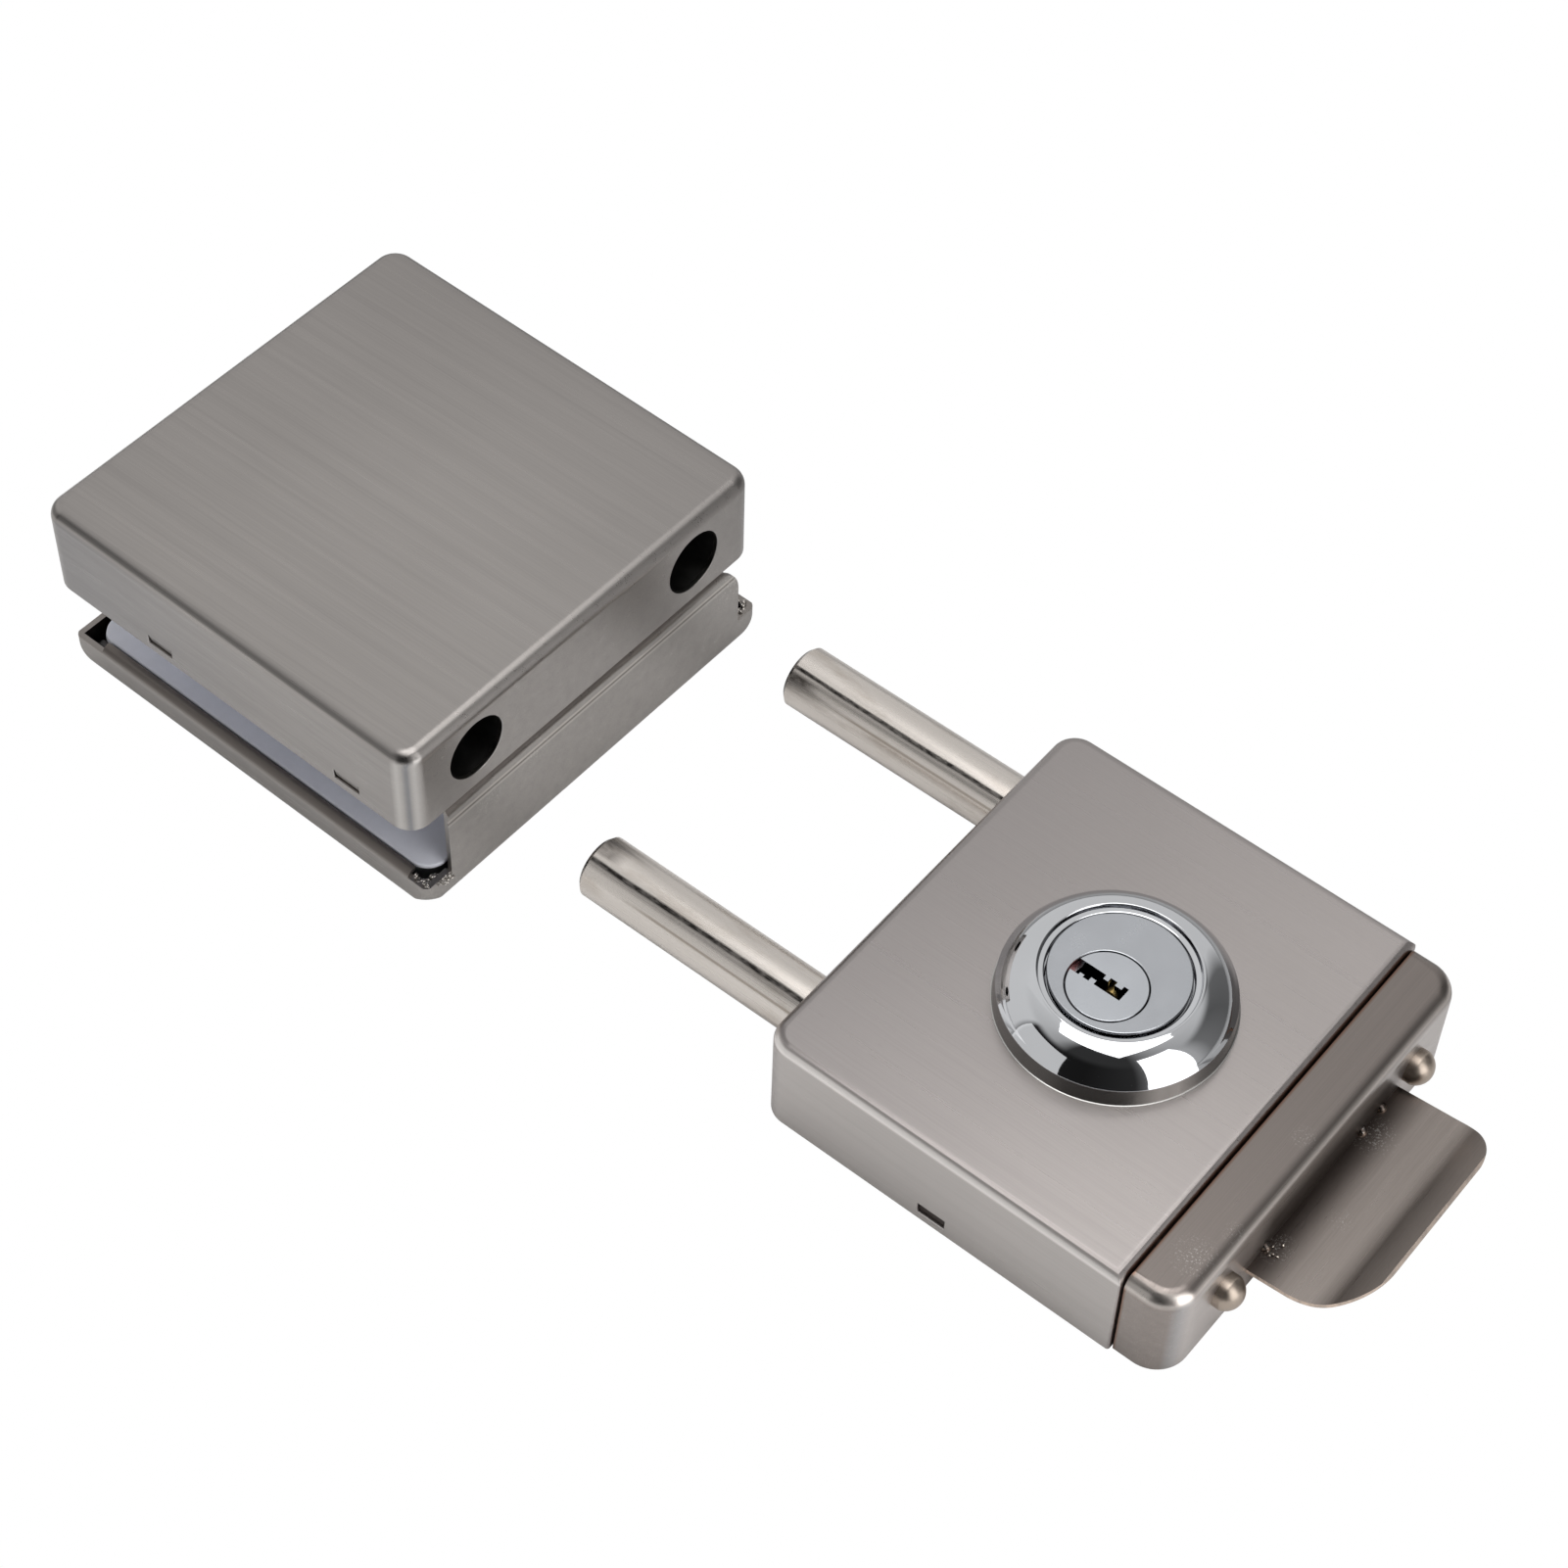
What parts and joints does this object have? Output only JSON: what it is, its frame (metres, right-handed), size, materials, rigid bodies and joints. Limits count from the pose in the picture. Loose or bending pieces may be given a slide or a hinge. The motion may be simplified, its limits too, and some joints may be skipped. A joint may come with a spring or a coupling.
{
  "type": "glass door lock",
  "caption": "Key-operated sliding-bolt lock for double glass doors: a lock box with paired rods and a finger pull, and a clamp-on strike box that takes the rods.",
  "frame": {"origin": "on the lock box's base plane, under the axis of the key cylinder", "axes": "+X along the rods, from the strike box to the finger pull; +Y across the rods; +Z away from the glass"},
  "size_m": [0.274, 0.0988, 0.0459],
  "materials": {
    "satin_steel": "fine satin brushed along the rods",
    "strike_steel": "fine satin brushed along the rods",
    "shell_steel": "satin, with raw sheared edges",
    "cap_steel": "bright satin brushed across the rods",
    "pull_steel": "bright satin with a polished lip",
    "rivet_steel": "polished dome heads",
    "bright_rod": "bright plated",
    "bright_chrome": "mirror bright",
    "cylinder_nickel": "satin nickel face",
    "plug_nickel": "satin nickel face",
    "zinc_steel": "zinc plated",
    "socket_steel": "plain drawn tube",
    "dark_steel": "blackened",
    "spring_wire": "plain wire",
    "brass": "turned",
    "nylon": "moulded",
    "grey_pad": "smooth sheet",
    "strike_pad": "smooth sheet"
  },
  "bodies": {
    "fixed_boxes": {"lock_cover": "satin_steel", "lock_chassis": "zinc_steel", "lock_glass_pad": "grey_pad", "lower_front_bush": "nylon", "lower_rear_bush": "nylon", "upper_front_bush": "nylon", "upper_rear_bush": "nylon", "rosette": "bright_chrome", "cylinder_body": "cylinder_nickel", "cylinder_nut": "zinc_steel", "driver_pins": "brass", "pin_springs": "spring_wire", "pin_caps": "brass", "strike_cover": "strike_steel", "strike_bracket": "zinc_steel", "lower_socket": "socket_steel", "upper_socket": "socket_steel", "back_shell": "shell_steel", "back_pad": "strike_pad"},
    "bolt": {"lower_rod": "bright_rod", "upper_rod": "bright_rod", "lower_stop_ring": "dark_steel", "upper_stop_ring": "dark_steel", "rod_bridge": "zinc_steel", "end_cap": "cap_steel", "finger_pull": "pull_steel", "lower_rivet": "rivet_steel", "upper_rivet": "rivet_steel"},
    "key_plug": {"cylinder_plug": "plug_nickel", "key_pins": "brass", "locking_cam": "zinc_steel", "cam_screw": "dark_steel"},
    "clamp": {"clamp_plate": "zinc_steel", "clamp_pad": "strike_pad", "clamp_screw_1": "dark_steel", "clamp_screw_2": "dark_steel", "clamp_screw_3": "dark_steel", "clamp_screw_4": "dark_steel"}
  },
  "joints": [
    {"name": "bolt_slide", "type": "slide", "parent": "fixed_boxes", "child": "bolt", "axis": [1, 0, 0], "range_m": [0, 0.0507]},
    {"name": "key_turn", "type": "hinge", "parent": "fixed_boxes", "child": "key_plug", "pos_m": [0, -0.00375, 0], "axis": [0, 0, 1], "range_deg": [-90, 0]},
    {"name": "clamp_slide", "type": "slide", "parent": "fixed_boxes", "child": "clamp", "axis": [0, 0, -1], "range_m": [0, 0.0045]}
  ]
}
